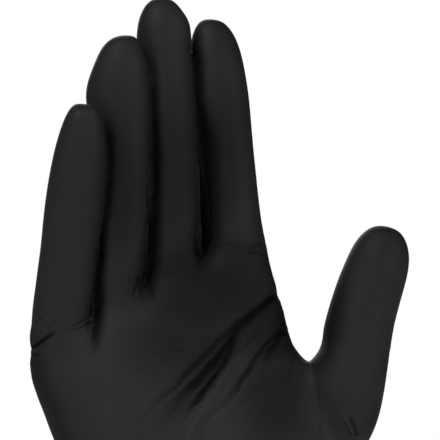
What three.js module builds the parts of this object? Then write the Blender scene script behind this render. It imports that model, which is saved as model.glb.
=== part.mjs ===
// A nitrile exam glove for a right hand, hollow, in the shape that it has when worn.
// The glove is dipped in one piece: a tube for the wrist and palm that runs into five
// finger stalls, with its open edge rolled into a bead. So it is one closed solid.
// Millimetres. +Z points to the fingertips, -Y is the palm side and +X is the thumb's side.
// The origin is the middle of the wrist opening, in the plane of the rolled edge.
import * as THREE from 'three';

// The film, and the bead that its edge is rolled into. The bead runs round from its upper outer side,
// where the outer wall meets it, to its upper inner side.
const WALL = 1;
const BEAD_DIAMETER = 2.6;
const BEAD_SIDES = 6;
const BEAD_START = 60;
const BEAD_TURN = 300;

// The cuff and the wrist.
const CUFF_LENGTH = 50;
const CUFF_WIDTH = 69;
const CUFF_DEPTH = 52;
const WRIST_WIDTH = 65;
const WRIST_DEPTH = 44;

// The palm, from the wrist crease to the web beside the index finger. The knuckles' middle lies to the
// little finger's side of the wrist's.
const PALM_LENGTH = 104;
const PALM_WIDTH = 78;
const PALM_THICKNESS = 30;
const KNUCKLE_OFFSET = -15;

// The fingers, from the web to the tip, and the gap between two that lie together.
const LITTLE_LENGTH = 77.5;
const LITTLE_WIDTH = 18.8;
const RING_LENGTH = 90.2;
const RING_WIDTH = 20.8;
const MIDDLE_LENGTH = 92;
const MIDDLE_WIDTH = 19.8;
const INDEX_LENGTH = 81;
const INDEX_WIDTH = 19.8;
const FINGER_GAP = 0.5;

// The thumb, from the middle of its root to the tip.
const THUMB_LENGTH = 74;
const THUMB_WIDTH = 21.6;

// Rings of the cuff. The height is a share of the way from the bead to the wrist, and so is the size.
const CUFF_RINGS = [
  { height: 0, towardsWrist: 0 },
  { height: 0.24, towardsWrist: 0.3 },
  { height: 0.52, towardsWrist: 0.75 },
  { height: 0.81, towardsWrist: 1 },
];

// Rings of the palm. The height is a share of the way from the wrist up to the webs. Little and thumb
// are the sides, shares of the palm's width from its middle line, which runs from the wrist's middle
// to the knuckles'. Front and back are shares of its thickness, and lean is how much further forward
// the little side is. Gathered says how far the columns of faces line up with the fingers.
const PALM_RINGS = [
  { height: 0.04, little: -0.412, thumb: 0.428, front: -0.72, back: 0.7, lean: 0, gathered: 0 },
  { height: 0.15, little: -0.411, thumb: 0.519, front: -0.775, back: 0.65, lean: 0, gathered: 0.04 },
  { height: 0.25, little: -0.422, thumb: 0.628, front: -0.805, back: 0.61, lean: 0, gathered: 0.07 },
  { height: 0.36, little: -0.446, thumb: 0.719, front: -0.82, back: 0.575, lean: 0, gathered: 0.12 },
  { height: 0.47, little: -0.472, thumb: 0.69, front: -0.78, back: 0.55, lean: 0.015, gathered: 0.25 },
  { height: 0.575, little: -0.494, thumb: 0.641, front: -0.72, back: 0.525, lean: 0.03, gathered: 0.4 },
  { height: 0.7, little: -0.52, thumb: 0.59, front: -0.645, back: 0.495, lean: 0.055, gathered: 0.6 },
  { height: 0.79, little: -0.531, thumb: 0.552, front: -0.6, back: 0.47, lean: 0.085, gathered: 0.73 },
  { height: 0.87, little: -0.532, thumb: 0.537, front: -0.555, back: 0.44, lean: 0.105, gathered: 0.85 },
  { height: 0.94, little: -0.521, thumb: 0.526, front: -0.52, back: 0.41, lean: 0.12, gathered: 0.95 },
];

// The webs that bound the four fingers, from the little finger's outer side to the index finger's.
// Across is a share of the palm's width, height one of its length, and depth one of its thickness.
const WEBS = [
  { across: 0, height: 0.77, depth: -0.3 },
  { across: 0.252, height: 0.8, depth: -0.22 },
  { across: 0.462, height: 0.905, depth: -0.1 },
  { across: 0.705, height: 0.995, depth: -0.02 },
  { across: 1, height: 0.99, depth: 0.02 },
];
// At the back the webs lie lower, by a share of the palm's length. The valley between two fingers is
// narrower from front to back than they are, by a share.
const WEB_BACK_DROP = 0.05;
const WEB_VALLEY = 0.5;

// The four fingers. Depth is the root's share of the palm's thickness. Sideways and forward are shares
// of the finger's length that the tip leans to the thumb's side and to the palm's side, and the curl
// bends it further. Dome is the rounded tip's share of the finger's width.
const FINGERS = [
  { length: LITTLE_LENGTH, width: LITTLE_WIDTH, depth: -0.23, sideways: 0.126, forward: 0.2, dome: 1.25 },
  { length: RING_LENGTH, width: RING_WIDTH, depth: -0.14, sideways: 0.03, forward: 0.08, dome: 0.85 },
  { length: MIDDLE_LENGTH, width: MIDDLE_WIDTH, depth: -0.06, sideways: -0.03, forward: 0.03, dome: 0.8 },
  { length: INDEX_LENGTH, width: INDEX_WIDTH, depth: 0.05, sideways: -0.093, forward: -0.035, dome: 0.8 },
];
const FINGER_CURL = 0.075;

// How a finger's width and thickness change along it, as shares of its width.
const FINGER_PROFILE = [
  { along: 0, width: 1.1, thickness: 1.12 },
  { along: 0.2, width: 1.05, thickness: 0.98 },
  { along: 0.5, width: 1.01, thickness: 0.92 },
  { along: 0.75, width: 0.99, thickness: 0.86 },
  { along: 1, width: 0.93, thickness: 0.8 },
];
const FINGER_RINGS = 5;

// The thumb's rings beyond its root. Outwards and up place the middle as shares of the thumb's length
// from the root, forward leans it to the palm's side, tilt is how far the ring's plane has turned,
// from upright at 90.
const THUMB_ROOT = { across: 0.535, up: 0.44, depth: -0.16 };
const THUMB_RINGS = [
  { outwards: 0.155, up: 0.145, forward: 0.02, tilt: 38, width: 1.5, thickness: 1.24 },
  { outwards: 0.205, up: 0.3, forward: 0.04, tilt: 56, width: 1.2, thickness: 1.06 },
  { outwards: 0.24, up: 0.47, forward: 0.06, tilt: 69, width: 1.06, thickness: 0.96 },
  { outwards: 0.275, up: 0.625, forward: 0.08, tilt: 74, width: 1.02, thickness: 0.9 },
  { outwards: 0.32, up: 0.755, forward: 0.1, tilt: 77, width: 0.97, thickness: 0.86 },
];
const THUMB_TIP = { outwards: 0.365, up: 0.948, forward: 0.14, tilt: 77 };

// The pads that stand out from the palm, and the hollow between them. Across is a share of the palm's
// width from its middle line and up one of its length. So are the half sizes, and the height is a
// share of its thickness.
const PADS = [
  { across: 0.429, up: 0.36, halfWidth: 0.24, halfLength: 0.24, height: 0.12 },
  { across: -0.271, up: 0.36, halfWidth: 0.2, halfLength: 0.34, height: 0.08 },
  { across: 0.076, up: 0.5, halfWidth: 0.2, halfLength: 0.2, height: -0.06 },
];

// The folds that the film draws across the palm to the thumb's web, and at the little finger's root.
// Each runs from one spot to another, bent towards a third, all across and up the palm. The height is
// a share of the fold height. Start and end are 0 where it fades out and 1 where it is full to its
// end.
const FOLD_WIDTH = 3.4;
const FOLD_HEIGHT = 0.8;
const FOLDS = [
  { from: [0.518, 0.9], by: [0.314, 0.8], to: [-0.148, 0.48], height: 1, start: 1, end: 0 },
  { from: [0.33, 0.73], by: [0.245, 0.65], to: [0.045, 0.44], height: 1, start: 0.2, end: 0 },
  { from: [0.526, 0.81], by: [0.39, 0.73], to: [0.173, 0.43], height: 1, start: 1, end: 0 },
  { from: [0.614, 0.67], by: [0.605, 0.6], to: [0.608, 0.46], height: 0.6, start: 0.3, end: 0 },
  { from: [-0.562, 0.72], by: [-0.454, 0.76], to: [-0.328, 0.79], height: 0.75, start: 1, end: 0.3 },
  { from: [-0.577, 0.64], by: [-0.467, 0.69], to: [-0.365, 0.7], height: 0.6, start: 1, end: 0 },
];

// A fold's groove is shallower than its ridges are high by the lift. It fades over a third of its length.
const FOLD_LIFT = 0.5;
const FOLD_FADE = 3;
const FOLD_SPREAD = 0.6;
const FOLD_STEPS = 24;

// The film's surface is a coarse cage of four-sided faces, rounded by subdivision. A section of the
// palm is squarer than an oval.
const FINGER_SIDES = 8;
const SQUARENESS = 2.5;

// In front, the palm has a column for each web and each finger, and as many at the back. One more runs
// up each side, where the thumb's also carries the thumb.
const FRONT_COLUMNS = 2 * WEBS.length - 1;
const THUMB_COLUMN = FRONT_COLUMNS;
const COLUMNS = 2 * (FRONT_COLUMNS + 1);
const LITTLE_COLUMN = COLUMNS - 1;

// One round of subdivision draws a ring of corners in, which the cage makes good by this share.
function swell(sides) {
  return 4 / (3 + Math.cos((2 * Math.PI) / sides));
}

const WRIST_HEIGHT = CUFF_LENGTH;
const cage = { points: [], faces: [], owners: [] };

function addPoint(x, y, z) {
  cage.points.push(new THREE.Vector3(x, y, z));
  return cage.points.length - 1;
}

function addFace(corners, owner) {
  cage.faces.push(corners);
  cage.owners.push(owner);
}

function joinRings(lower, upper, owner, skip = () => false) {
  lower.forEach((corner, i) => {
    const next = (i + 1) % lower.length;
    if (!skip(i)) addFace([corner, lower[next], upper[next], upper[i]], owner);
  });
}

// The direction of a column, where 0 looks to the thumb's side and 270 degrees to the palm's side.
function columnAngle(column) {
  return Math.PI + (2 * Math.PI * (column + 1)) / COLUMNS;
}

// The middle line of the palm at a height, and a place a share of the palm's width from it.
function palmAcross(across, up) {
  return KNUCKLE_OFFSET * up + across * PALM_WIDTH;
}

const webPlaces = WEBS.map((web) => ({
  x: KNUCKLE_OFFSET + (web.across - 0.5) * PALM_WIDTH,
  y: web.depth * PALM_THICKNESS,
  z: WRIST_HEIGHT + web.height * PALM_LENGTH,
}));

// A finger's root and the line that its middle follows, from 0 at the web to 1 at the tip.
const fingerLines = FINGERS.map((finger, i) => {
  const [before, after] = [webPlaces[i], webPlaces[i + 1]];
  const root = new THREE.Vector3(
    (before.x + after.x) / 2,
    finger.depth * PALM_THICKNESS,
    (before.z + after.z) / 2,
  );
  const rise = Math.sqrt(1 - finger.sideways ** 2 - (finger.forward + FINGER_CURL) ** 2);
  const at = (share) => new THREE.Vector3(
    root.x + finger.length * finger.sideways * share,
    root.y - finger.length * (finger.forward * share + FINGER_CURL * share ** 2),
    root.z + finger.length * rise * share,
  );
  const slope = (after.z - before.z) / (after.x - before.x);
  return { ...finger, root, at, slope, top: at(1).z };
});

// The middle of a finger at a height, and the way from it to where the neighbour's film meets its own.
const BELOW_ROOT = -0.2;

function lineAtHeight(finger, z) {
  const share = (z - finger.root.z) / (finger.top - finger.root.z);
  return finger.at(THREE.MathUtils.clamp(share, BELOW_ROOT, 1));
}

function between(finger, neighbour, z) {
  const from = lineAtHeight(finger, z).setZ(0);
  const apart = lineAtHeight(neighbour, z).setZ(0).sub(from);
  const half = (apart.length() * finger.width) / (finger.width + neighbour.width);
  return { from, apart: apart.normalize(), half };
}

// Where a column lies from side to side at the webs, from the little finger's side to the thumb's.
const OUTER_WEBS = 0.93;

function gatheredLateral(column) {
  const front = column < FRONT_COLUMNS ? column : 2 * FRONT_COLUMNS - column;
  const steps = webPlaces.flatMap((web, i) => {
    const finger = fingerLines[i];
    return finger ? [web.x, finger.root.x] : [web.x];
  });
  const [first, last] = [steps[0], steps[steps.length - 1]];
  return OUTER_WEBS * ((2 * (steps[front] - first)) / (last - first) - 1);
}

function palmHeight(column, share) {
  const lateral = (Math.cos(columnAngle(column)) + 1) / 2;
  const spot = lateral * (WEBS.length - 1);
  const i = Math.min(Math.floor(spot), WEBS.length - 2);
  const top = THREE.MathUtils.lerp(WEBS[i].height, WEBS[i + 1].height, spot - i);
  return WRIST_HEIGHT + share * top * PALM_LENGTH;
}

// A flattened oval ring between two side edges, a front and a back.
function ovalRing(section, heightAt) {
  return Array.from({ length: COLUMNS }, (_, column) => {
    const angle = columnAngle(column);
    let lateral = Math.cos(angle);
    const atSide = column === THUMB_COLUMN || column === LITTLE_COLUMN;
    if (!atSide) {
      lateral = THREE.MathUtils.lerp(lateral, gatheredLateral(column), section.gathered);
    }
    const middle = (section.littleSide + section.thumbSide) / 2;
    const half = (section.thumbSide - section.littleSide) / 2;
    const bulge = atSide ? 0 : (1 - Math.abs(lateral) ** SQUARENESS) ** (1 / SQUARENESS);
    const centre = (section.front + section.back) / 2;
    const reach = (section.back - section.front) / 2;
    const y = centre + section.lean * lateral + Math.sign(Math.sin(angle)) * reach * bulge;
    return addPoint(middle + half * lateral, y, heightAt(column));
  });
}

const CUFF_START = 1.15 * BEAD_DIAMETER;
const cuffRings = CUFF_RINGS.map((ring) => {
  const width = THREE.MathUtils.lerp(CUFF_WIDTH, WRIST_WIDTH, ring.towardsWrist);
  const depth = THREE.MathUtils.lerp(CUFF_DEPTH, WRIST_DEPTH, ring.towardsWrist);
  const section = {
    littleSide: -width / 2,
    thumbSide: width / 2,
    front: -depth / 2,
    back: depth / 2,
    lean: 0,
    gathered: 0,
  };
  return ovalRing(section, () => THREE.MathUtils.lerp(CUFF_START, WRIST_HEIGHT, ring.height));
});

const palmRings = PALM_RINGS.map((ring) => {
  const section = {
    littleSide: palmAcross(ring.little, ring.height),
    thumbSide: palmAcross(ring.thumb, ring.height),
    front: ring.front * PALM_THICKNESS,
    back: ring.back * PALM_THICKNESS,
    lean: ring.lean * PALM_THICKNESS,
    gathered: ring.gathered,
  };
  return ovalRing(section, (column) => palmHeight(column, ring.height));
});

// The palm's top ring: the front and back of each finger's root, and of each web between them.
const halfThick = (finger) => (swell(FINGER_SIDES) * finger.width * FINGER_PROFILE[0].thickness) / 2;
const webDrop = WEB_BACK_DROP * PALM_LENGTH;

function webPoint(i, side) {
  const web = webPlaces[i];
  const beside = [fingerLines[i - 1], fingerLines[i]].filter(Boolean);
  const reach = side * Math.min(...beside.map(halfThick)) * WEB_VALLEY;
  const drop = side > 0 ? webDrop : 0;
  const apart = beside.length > 1 ? between(...beside, web.z).apart : new THREE.Vector3(1, 0, 0);
  return addPoint(web.x - reach * apart.y, web.y + reach * apart.x, web.z - drop);
}

function rootPoint(finger, side) {
  const drop = side > 0 ? webDrop : 0;
  return addPoint(finger.root.x, finger.root.y + side * halfThick(finger), finger.root.z - drop);
}

const webFronts = webPlaces.map((_, i) => webPoint(i, -1));
const webBacks = webPlaces.map((_, i) => webPoint(i, 1));
const webMiddles = webPlaces.map((web) => addPoint(web.x, web.y, web.z));
const rootFronts = fingerLines.map((finger) => rootPoint(finger, -1));
const rootBacks = fingerLines.map((finger) => rootPoint(finger, 1));

const lastWeb = WEBS.length - 1;
const topRing = [
  ...webFronts.flatMap((web, i) => (i < lastWeb ? [web, rootFronts[i]] : [web])),
  webMiddles[lastWeb],
  ...webBacks.toReversed().flatMap((web, i) => (i < lastWeb ? [web, rootBacks[lastWeb - 1 - i]] : [web])),
  webMiddles[0],
];

// The thumb leaves the palm through a patch on its side, two faces wide and three high.
const PATCH_FIRST_RING = 3;
const PATCH_ROWS = 3;
const tubeRings = [...cuffRings, ...palmRings, topRing];
const patchStart = CUFF_RINGS.length + PATCH_FIRST_RING;
const patchRings = tubeRings.slice(patchStart, patchStart + PATCH_ROWS + 1);
const inPatch = (row, column) => row >= patchStart && row < patchStart + PATCH_ROWS
  && (column === THUMB_COLUMN - 1 || column === THUMB_COLUMN);
tubeRings.slice(1).forEach((ring, row) => {
  joinRings(tubeRings[row], ring, -1, (column) => inPatch(row, column));
});

// A closed stall on a loop of corners: its rings, and a pole at the tip. The loop starts at its front
// corner on the little finger's side, or at its upper one for the thumb.
function addStall(loop, rings, pole, owner) {
  const sides = loop.length;
  let last = loop;
  for (const ring of rings) {
    const corners = loop.map((_, i) => {
      const angle = Math.PI + (2 * Math.PI * (i + 1)) / sides;
      const place = ring.centre.clone()
        .addScaledVector(ring.across, (swell(sides) * ring.width * Math.cos(angle)) / 2)
        .addScaledVector(ring.through, (swell(sides) * ring.thickness * Math.sin(angle)) / 2);
      return addPoint(place.x, place.y, place.z);
    });
    joinRings(last, corners, owner);
    last = corners;
  }
  const tip = addPoint(pole.x, pole.y, pole.z);
  last.forEach((corner, i) => addFace([corner, last[(i + 1) % sides], tip], owner));
}

function readProfile(rows, along, column) {
  const after = rows.findIndex((row) => row.along >= along);
  if (after <= 0) return rows[Math.max(after, 0)][column];
  const [low, high] = [rows[after - 1], rows[after]];
  const share = (along - low.along) / (high.along - low.along);
  return THREE.MathUtils.lerp(low[column], high[column], share);
}

// The rings of a rounded tip lie at these angles from its widest place. Each has its share of the way
// along the dome and of the width. The tip is a little fuller than an ellipse.
const DOME_ANGLES = [30, 62];
const DOME_FULLNESS = 0.82;
const DOME_RINGS = DOME_ANGLES.map((degrees) => {
  const angle = THREE.MathUtils.degToRad(degrees);
  return { along: Math.sin(angle), shrink: Math.cos(angle) ** DOME_FULLNESS };
});

// The first ring of a finger lies less than a whole step above its root. There the rings slant as the
// webs beside the finger do, and they are level higher up.
const FIRST_STEP = 0.3;
const SLANT_FADE = 3;
const AXIS_STEP = 0.02;

fingerLines.forEach((finger, i) => {
  const dome = (finger.dome * finger.width) / finger.length;
  const bodyEnd = 1 - dome;
  const shares = Array.from({ length: FINGER_RINGS }, (_, k) => ({
    along: (bodyEnd * (k + FIRST_STEP)) / (FINGER_RINGS - 1 + FIRST_STEP),
    shrink: 1,
  }));
  DOME_RINGS.forEach(({ along, shrink }) => shares.push({ along: bodyEnd + dome * along, shrink }));
  const rings = shares.map(({ along, shrink }) => {
    const axis = finger.at(along + AXIS_STEP).sub(finger.at(along - AXIS_STEP)).normalize();
    const across = new THREE.Vector3(0, 1, 0).cross(axis).normalize();
    const profileAt = Math.min(along / bodyEnd, 1);
    return {
      centre: finger.at(along),
      across: across.clone().addScaledVector(axis, finger.slope * (1 - along) ** SLANT_FADE),
      through: axis.clone().cross(across),
      width: finger.width * shrink * readProfile(FINGER_PROFILE, profileAt, 'width'),
      thickness: finger.width * shrink * readProfile(FINGER_PROFILE, profileAt, 'thickness'),
    };
  });
  const loop = [
    webFronts[i], rootFronts[i], webFronts[i + 1], webMiddles[i + 1],
    webBacks[i + 1], rootBacks[i], webBacks[i], webMiddles[i],
  ];
  addStall(loop, rings, finger.at(1), i);
});

const THUMB_OWNER = FINGERS.length;
const thumbRoot = new THREE.Vector3(
  palmAcross(THUMB_ROOT.across, THUMB_ROOT.up),
  THUMB_ROOT.depth * PALM_THICKNESS,
  WRIST_HEIGHT + THUMB_ROOT.up * PALM_LENGTH,
);

function thumbPlace({ outwards, up, forward }) {
  return thumbRoot.clone().add(new THREE.Vector3(outwards, -forward, up).multiplyScalar(THUMB_LENGTH));
}

function thumbRing(centre, tilt, width, thickness) {
  const turned = THREE.MathUtils.degToRad(90 - tilt);
  return {
    centre,
    across: new THREE.Vector3(Math.cos(turned), 0, -Math.sin(turned)),
    through: new THREE.Vector3(0, 1, 0),
    width: width * THUMB_WIDTH,
    thickness: thickness * THUMB_WIDTH,
  };
}

const thumbRings = THUMB_RINGS.map((row) => thumbRing(thumbPlace(row), row.tilt, row.width, row.thickness));
const lastThumbRing = THUMB_RINGS[THUMB_RINGS.length - 1];
const thumbTip = thumbPlace(THUMB_TIP);
const domeStart = thumbPlace(lastThumbRing);
DOME_RINGS.forEach(({ along, shrink }) => {
  const { width, thickness } = lastThumbRing;
  const centre = domeStart.clone().lerp(thumbTip, along);
  thumbRings.push(thumbRing(centre, THUMB_TIP.tilt, width * shrink, thickness * shrink));
});

const patchColumn = (column) => patchRings.map((ring) => ring[column]);
const thumbLoop = [
  ...patchColumn(THUMB_COLUMN - 1).reverse(),
  patchRings[0][THUMB_COLUMN],
  ...patchColumn(THUMB_COLUMN + 1),
  patchRings[PATCH_ROWS][THUMB_COLUMN],
];
addStall(thumbLoop, thumbRings, thumbTip, THUMB_OWNER);

const edgeKey = (a, b) => `${Math.min(a, b)} ${Math.max(a, b)}`;

// One round of Catmull-Clark subdivision of an open shell. The old corners come first in the new points.
function subdivide({ points, faces, owners }) {
  const average = (list) => list
    .reduce((sum, point) => sum.add(point), new THREE.Vector3())
    .divideScalar(list.length);
  const made = [];
  const keep = (point) => made.push(point) - 1;
  const facePoints = faces.map((face) => average(face.map((corner) => points[corner])));
  const edges = new Map();
  const around = points.map(() => ({ faces: [], edges: new Set() }));
  faces.forEach((face, f) => face.forEach((corner, k) => {
    const next = face[(k + 1) % face.length];
    const key = edgeKey(corner, next);
    if (!edges.has(key)) edges.set(key, { ends: [corner, next], faces: [] });
    edges.get(key).faces.push(f);
    around[corner].faces.push(f);
    around[corner].edges.add(key);
    around[next].edges.add(key);
  }));
  points.forEach((point, p) => {
    const touching = [...around[p].edges].map((key) => edges.get(key));
    const open = touching.filter((edge) => edge.faces.length === 1);
    if (!touching.length) {
      keep(point.clone());
      return;
    }
    const middles = (open.length ? open : touching)
      .map((edge) => average(edge.ends.map((end) => points[end])));
    if (open.length) {
      keep(point.clone().multiplyScalar(2).add(middles[0]).add(middles[1]).divideScalar(4));
      return;
    }
    const count = touching.length;
    keep(average(around[p].faces.map((f) => facePoints[f]))
      .addScaledVector(average(middles), 2)
      .addScaledVector(point, count - 3)
      .divideScalar(count));
  });
  for (const edge of edges.values()) {
    const near = edge.ends.map((end) => points[end]);
    if (edge.faces.length === 2) near.push(...edge.faces.map((f) => facePoints[f]));
    edge.made = keep(average(near));
  }
  const quads = [];
  const quadOwners = [];
  const faceMiddles = [];
  faces.forEach((face, f) => {
    const middle = keep(facePoints[f]);
    faceMiddles.push(middle);
    face.forEach((corner, k) => {
      const next = face[(k + 1) % face.length];
      const before = face[(k + face.length - 1) % face.length];
      quads.push([
        corner,
        edges.get(edgeKey(corner, next)).made,
        middle,
        edges.get(edgeKey(before, corner)).made,
      ]);
      quadOwners.push(owners[f]);
    });
  });
  const middles = {
    faces: faceMiddles,
    edges: new Map([...edges].map(([key, edge]) => [key, edge.made])),
  };
  return { points: made, faces: quads, owners: quadOwners, middles };
}

// Fingers that lie side by side press flat against each other and keep the gap. They meet over their
// web at first, and higher up in proportion to their widths.
const WEB_BLEND = 0.12;

function pressFinger(point, finger, neighbour, web) {
  if (point.z > neighbour.top) return;
  const { from, apart, half } = between(finger, neighbour, point.z);
  const low = between(finger, neighbour, web.z);
  const overWeb = new THREE.Vector3(web.x, web.y, 0).sub(low.from).dot(low.apart) - low.half;
  const blendEnd = web.z + WEB_BLEND * (finger.length + neighbour.length);
  const fade = 1 - THREE.MathUtils.smoothstep(point.z, web.z, blendEnd);
  const room = half + fade * overWeb - FINGER_GAP / 2;
  const reach = new THREE.Vector3(point.x, point.y, 0).sub(from).dot(apart);
  if (reach > room) point.addScaledVector(apart, room - reach);
}

function pressFingers({ points, faces, owners }) {
  const cornerOwners = points.map(() => new Set());
  faces.forEach((face, f) => face.forEach((corner) => cornerOwners[corner].add(owners[f])));
  points.forEach((point, p) => {
    if (cornerOwners[p].size !== 1) return;
    const [owner] = cornerOwners[p];
    [owner - 1, owner + 1].forEach((beside) => {
      if (fingerLines[owner] && fingerLines[beside]) {
        const web = webPlaces[Math.max(owner, beside)];
        pressFinger(point, fingerLines[owner], fingerLines[beside], web);
      }
    });
  });
}

// Every face at a corner counts the same, so that a small one in a valley isn't outweighed.
function cornerNormals(points, faces) {
  const normals = points.map(() => new THREE.Vector3());
  faces.forEach((face) => face.forEach((corner, k) => {
    const [next, before] = [face[(k + 1) % face.length], face[(k + face.length - 1) % face.length]];
    const side = points[next].clone().sub(points[corner]);
    normals[corner].add(side.cross(points[before].clone().sub(points[corner])).normalize());
  }));
  return normals.map((normal) => normal.normalize());
}

// The wall is rounded once all over, and twice near the folds.
const skin = subdivide(cage);
pressFingers(skin);
const fine = subdivide(skin);
pressFingers(fine);

// How much a spot faces the palm's side, from 0 at its edges to 1 on the palm itself.
const EDGE_FACING = 0.05;
const PALM_FACING = 0.6;

function facing(normal) {
  return THREE.MathUtils.smoothstep(-normal.y, EDGE_FACING, PALM_FACING);
}

// A spot seen from the front, in shares of the palm's width from its middle line and of its length.
function palmSpot([across, up]) {
  return new THREE.Vector2(palmAcross(across, up), WRIST_HEIGHT + up * PALM_LENGTH);
}

const skinNormals = cornerNormals(fine.points, fine.faces);
fine.points.forEach((point, p) => {
  const padHeight = PADS.reduce((sum, pad) => {
    const middle = palmSpot([pad.across, pad.up]);
    const away = ((point.x - middle.x) / (pad.halfWidth * PALM_WIDTH)) ** 2
      + ((point.z - middle.y) / (pad.halfLength * PALM_LENGTH)) ** 2;
    return sum + pad.height * PALM_THICKNESS * Math.exp(-away);
  }, 0);
  point.addScaledVector(skinNormals[p], padHeight * facing(skinNormals[p]));
});

const foldLines = FOLDS.map((fold) => ({
  ...fold,
  places: new THREE.QuadraticBezierCurve(palmSpot(fold.from), palmSpot(fold.by), palmSpot(fold.to))
    .getPoints(FOLD_STEPS),
}));

// How far a spot is from a fold's line, to its side, and how far along the line the nearest place is.
function nearestOnFold({ places }, spot) {
  const away = places.map((place) => place.distanceTo(spot));
  const nearest = away.indexOf(Math.min(...away));
  const before = places[Math.max(nearest - 1, 0)];
  const ahead = places[Math.min(nearest + 1, places.length - 1)].clone().sub(before).normalize();
  return {
    aside: Math.abs(ahead.cross(spot.clone().sub(before))),
    distance: away[nearest],
    along: nearest / (places.length - 1),
    place: before.clone().addScaledVector(ahead, ahead.dot(spot.clone().sub(before))),
  };
}

// A fold is a groove with a ridge on each side, and fades out at its ends.
function foldHeight(spot) {
  return foldLines.reduce((sum, fold) => {
    const { aside, distance, along } = nearestOnFold(fold, spot);
    const beyond = Math.max(distance ** 2 - aside ** 2, 0);
    const fade = Math.min(1, FOLD_FADE * along + fold.start, FOLD_FADE * (1 - along) + fold.end);
    const wave = FOLD_LIFT - Math.cos(Math.PI * Math.min(aside / FOLD_WIDTH, 2));
    const spread = Math.exp(-(beyond + FOLD_SPREAD * aside ** 2) / FOLD_WIDTH ** 2);
    return sum + fade * fold.height * FOLD_HEIGHT * wave * spread;
  }, 0);
}

// Corners close to a single fold on the flat of the palm are drawn onto its line, so that edges run
// along it.
const FOLD_DRAW = 0.3 * FOLD_WIDTH;
const FLAT_FACING = 0.9;
let normals = cornerNormals(fine.points, fine.faces);
fine.points.forEach((point, p) => {
  if (-normals[p].y < FLAT_FACING) return;
  const spot = new THREE.Vector2(point.x, point.z);
  const near = foldLines.map((fold) => nearestOnFold(fold, spot))
    .filter(({ distance }) => distance < FOLD_WIDTH);
  if (near.length !== 1 || near[0].distance > FOLD_DRAW) return;
  point.add(new THREE.Vector3(near[0].place.x - spot.x, 0, near[0].place.y - spot.y));
});
normals = cornerNormals(fine.points, fine.faces);
const outer = fine.points;
const raised = outer.map((point, p) => facing(normals[p]) * foldHeight(new THREE.Vector2(point.x, point.z)));

// Faces near a fold are the small ones, and their neighbours take up the corners in between.
const FOLD_REACH = 2 * FOLD_WIDTH;
const FOLD_FACING = 0.3;
const nearFold = skin.faces.map((face, f) => {
  const middle = fine.middles.faces[f];
  const spot = new THREE.Vector2(outer[middle].x, outer[middle].z);
  return facing(normals[middle]) > FOLD_FACING
    && foldLines.some((fold) => nearestOnFold(fold, spot).distance < FOLD_REACH);
});
const splitEdges = new Set();
skin.faces.forEach((face, f) => {
  if (nearFold[f]) face.forEach((corner, k) => splitEdges.add(edgeKey(corner, face[(k + 1) % face.length])));
});

// A square face is split along a fold where it lies on one, and otherwise across its shorter diagonal.
const FOLD_RISE = 0.04 * FOLD_HEIGHT;

function splitSquare([a, b, c, d]) {
  const level = Math.abs(raised[a] - raised[c]) - Math.abs(raised[b] - raised[d]);
  const length = outer[a].distanceTo(outer[c]) - outer[b].distanceTo(outer[d]);
  const across = (Math.abs(level) > FOLD_RISE ? level : length) > 0;
  return across ? [[a, b, d], [b, c, d]] : [[a, b, c], [a, c, d]];
}

function fanOut(corners, first) {
  const turned = corners.map((_, k) => corners[(k + first) % corners.length]);
  return turned.slice(2).map((corner, k) => [turned[0], turned[k + 1], corner]);
}

const outerFaces = skin.faces.flatMap((face, f) => {
  if (nearFold[f]) return fine.faces.slice(4 * f, 4 * f + 4).flatMap((square) => splitSquare(square));
  const corners = face.flatMap((corner, k) => {
    const key = edgeKey(corner, face[(k + 1) % face.length]);
    return splitEdges.has(key) ? [corner, fine.middles.edges.get(key)] : [corner];
  });
  const first = corners.findIndex((corner) => corner >= skin.points.length);
  return first < 0 ? splitSquare(face) : fanOut(corners, first);
});

const solid = [];
outerFaces.forEach((face) => solid.push(face.map((corner) => (
  outer[corner].clone().addScaledVector(normals[corner], raised[corner])
))));
const innerPlace = (corner) => outer[corner].clone().addScaledVector(normals[corner], -WALL);

// The inner wall's squares are split across the diagonal that is further from the outer wall.
skin.faces.forEach((face) => {
  const outwards = face.reduce((sum, corner) => sum.add(normals[corner]), new THREE.Vector3());
  const [a, b, c, d] = face.map(innerPlace);
  const rise = a.clone().add(c).sub(b).sub(d).dot(outwards);
  solid.push(...(rise > 0 ? [[a, d, b], [b, d, c]] : [[a, c, b], [a, d, c]]));
});

// The open edge at the cuff is the cage's first ring, and each side of it is cut in two.
const rim = cuffRings[0].flatMap((corner, i) => {
  const next = cuffRings[0][(i + 1) % COLUMNS];
  return [corner, skin.middles.edges.get(edgeKey(corner, next))];
});

// The bead carries the film's edge round a small circle, from the outer wall to the inner one.
const beadRadius = BEAD_DIAMETER / 2;
const beadRings = Array.from({ length: BEAD_SIDES }, (_, step) => {
  const angle = THREE.MathUtils.degToRad(BEAD_START - (BEAD_TURN * step) / (BEAD_SIDES - 1));
  return rim.map((corner) => {
    const outwards = normals[corner].clone().setZ(0).normalize();
    const reach = beadRadius * Math.cos(angle) - WALL / 2;
    return outer[corner].clone().addScaledVector(outwards, reach).setZ(beadRadius * (1 + Math.sin(angle)));
  });
});
const rimRings = [rim.map((corner) => outer[corner]), ...beadRings, rim.map(innerPlace)];
rimRings.slice(1).forEach((ring, r) => ring.forEach((place, i) => {
  const next = (i + 1) % ring.length;
  const [above, aboveNext] = [rimRings[r][i], rimRings[r][next]];
  solid.push([aboveNext, above, place], [aboveNext, place, ring[next]]);
}));

const geometry = new THREE.BufferGeometry().setFromPoints(solid.flat());
geometry.computeVertexNormals();

const film = new THREE.MeshStandardMaterial({ color: 0x1c1c1d, roughness: 0.55, metalness: 0 });
const glove = new THREE.Mesh(geometry, film);
glove.name = 'glove';

const part = new THREE.Group();
part.add(glove);

export default part;
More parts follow.
